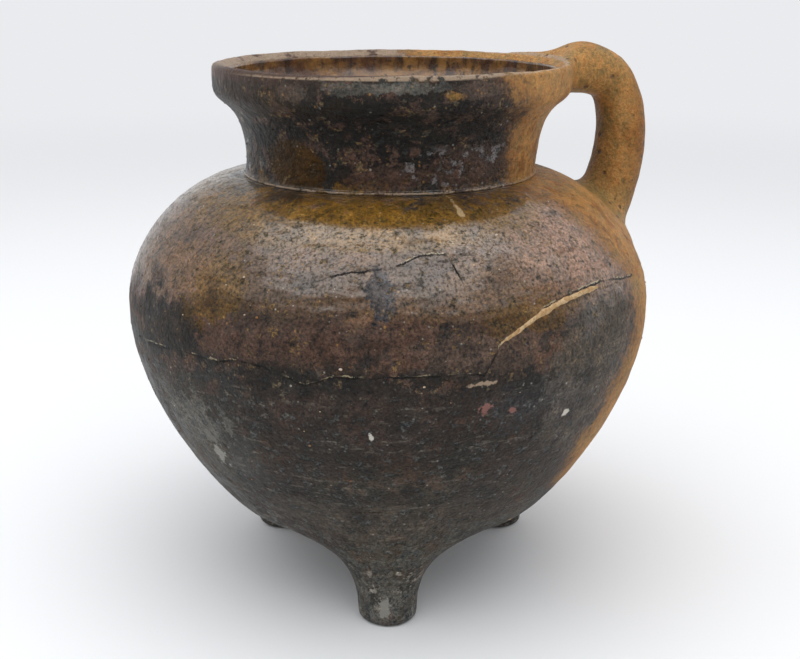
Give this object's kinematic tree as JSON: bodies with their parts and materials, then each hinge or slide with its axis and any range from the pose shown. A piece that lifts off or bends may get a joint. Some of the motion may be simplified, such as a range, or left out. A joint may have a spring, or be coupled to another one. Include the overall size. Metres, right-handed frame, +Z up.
{
  "type": "tripod cooking pot",
  "caption": "Round-bellied earthenware cooking pot with a collared mouth, an ear handle from rim to shoulder and stub feet.",
  "frame": {"origin": "on the floor, in the middle of the box round the pot and its handle; the pot's own axis stands 3.1 mm towards -X", "axes": "+Z up through the mouth, +X towards the handle"},
  "size_m": [0.1912, 0.185, 0.1913],
  "materials": {
    "fired_clay": "brown glaze over red clay, burnt black by the fire low down",
    "lead_glaze": "glossy mottled brown lead glaze",
    "handle_clay": "bare tan fired clay, matte",
    "sooted_clay": "fired clay under matte soot",
    "pale_filler": "rough pale filler, matte"
  },
  "bodies": {
    "root": {"pot_body": "fired_clay", "glaze_lining": "lead_glaze", "handle": "handle_clay", "front_foot": "sooted_clay", "right_foot": "sooted_clay", "left_foot": "sooted_clay", "break_fill": "pale_filler"}
  },
  "joints": []
}
